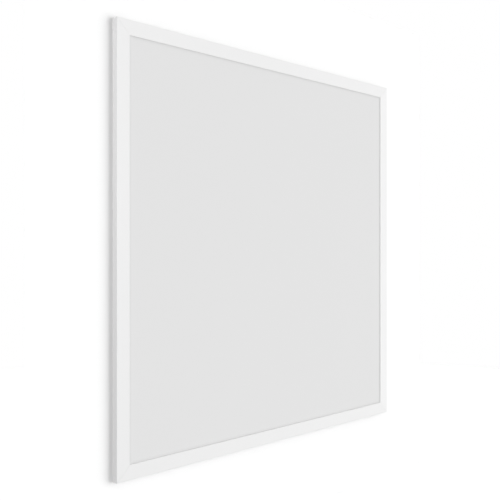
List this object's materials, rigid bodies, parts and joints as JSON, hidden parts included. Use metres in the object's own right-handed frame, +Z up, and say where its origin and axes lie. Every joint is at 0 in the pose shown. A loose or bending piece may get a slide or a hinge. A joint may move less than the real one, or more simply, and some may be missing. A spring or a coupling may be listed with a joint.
{
  "type": "led panel light",
  "caption": "Slim square edge-lit LED ceiling panel: white mitred frame, opal diffuser, and a rear driver case with a hinged terminal lid.",
  "frame": {"origin": "centre of the frame's front plane, the plane of the ceiling grid it rests on", "axes": "the light leaves along -Y, +Y runs through the thickness to the driver case, +Z is up as shown, +X is to the right seen from the lit side"},
  "size_m": [0.595, 0.0325, 0.595],
  "materials": {
    "frame_paint": "satin white powder coat on extruded aluminium",
    "cover_paint": "satin white paint on sheet steel",
    "opal_sheet": "matt opal diffuser sheet",
    "clear_acrylic": "clear polished acrylic with a printed dot pattern",
    "white_film": "matt white reflector film",
    "pale_foam": "closed-cell foam sheet",
    "key_steel": "zinc-plated steel",
    "screw_zinc": "zinc-plated steel",
    "led_board": "white solder mask on a metal-core board",
    "heat_tape": "grey heat-transfer tape",
    "case_plastic": "moulded white polycarbonate",
    "block_plastic": "moulded grey polyamide",
    "button_plastic": "moulded orange polyamide",
    "black_rubber": "moulded black rubber",
    "circuit_board": "green solder mask on glass-fibre board",
    "ferrite": "dark grey sintered ferrite",
    "coil_tape": "yellow polyester tape over copper wire",
    "capacitor_sleeve": "shrink sleeve on an aluminium can",
    "film_box": "moulded capacitor box",
    "choke_wire": "enamelled copper wire on a ring core",
    "red_lead": "insulated lead",
    "black_lead": "insulated lead",
    "white_lead": "insulated lead"
  },
  "bodies": {
    "panel": {"bottom_rail": "frame_paint", "bulk_capacitor": "capacitor_sleeve", "cable_entry": "black_rubber", "case_cover": "case_plastic", "case_screw_1": "screw_zinc", "case_screw_2": "screw_zinc", "case_tray": "case_plastic", "choke": "choke_wire", "corner_key_bottom_left": "key_steel", "corner_key_bottom_right": "key_steel", "corner_key_top_left": "key_steel", "corner_key_top_right": "key_steel", "cover_screw_01": "screw_zinc", "cover_screw_02": "screw_zinc", "cover_screw_03": "screw_zinc", "cover_screw_04": "screw_zinc", "cover_screw_05": "screw_zinc", "cover_screw_06": "screw_zinc", "cover_screw_07": "screw_zinc", "cover_screw_08": "screw_zinc", "cover_screw_09": "screw_zinc", "cover_screw_10": "screw_zinc", "cover_screw_11": "screw_zinc", "cover_screw_12": "screw_zinc", "cover_screw_13": "screw_zinc", "cover_screw_14": "screw_zinc", "cover_screw_15": "screw_zinc", "cover_screw_16": "screw_zinc", "diffuser": "opal_sheet", "driver_board": "circuit_board", "film_capacitor": "film_box", "foam_backing": "pale_foam", "heat_tape_left": "heat_tape", "heat_tape_right": "heat_tape", "lead_grommet": "black_rubber", "lead_link": "white_lead", "lead_negative": "black_lead", "lead_positive": "red_lead", "led_board_left": "led_board", "led_board_right": "led_board", "left_rail": "frame_paint", "light_guide": "clear_acrylic", "output_capacitor": "capacitor_sleeve", "rear_cover": "cover_paint", "reflector_film": "white_film", "right_rail": "frame_paint", "terminal_block": "block_plastic", "top_rail": "frame_paint", "transformer_coil": "coil_tape", "transformer_core": "ferrite"},
    "release_button_1": {"release_button_1": "button_plastic"},
    "release_button_2": {"release_button_2": "button_plastic"},
    "release_button_3": {"release_button_3": "button_plastic"},
    "terminal_lid": {"terminal_lid": "case_plastic"}
  },
  "joints": [
    {"name": "lid_hinge", "type": "hinge", "parent": "panel", "child": "terminal_lid", "pos_m": [0.0504, 0.0295, 0.271], "axis": [0, 0, 1], "range_deg": [0, 100]},
    {"name": "button_1_press", "type": "slide", "parent": "panel", "child": "release_button_1", "axis": [0, -1, 0], "range_m": [0, 0.0012], "stiffness_N_per_m": 800},
    {"name": "button_2_press", "type": "slide", "parent": "panel", "child": "release_button_2", "axis": [0, -1, 0], "range_m": [0, 0.0012], "stiffness_N_per_m": 800},
    {"name": "button_3_press", "type": "slide", "parent": "panel", "child": "release_button_3", "axis": [0, -1, 0], "range_m": [0, 0.0012], "stiffness_N_per_m": 800}
  ]
}
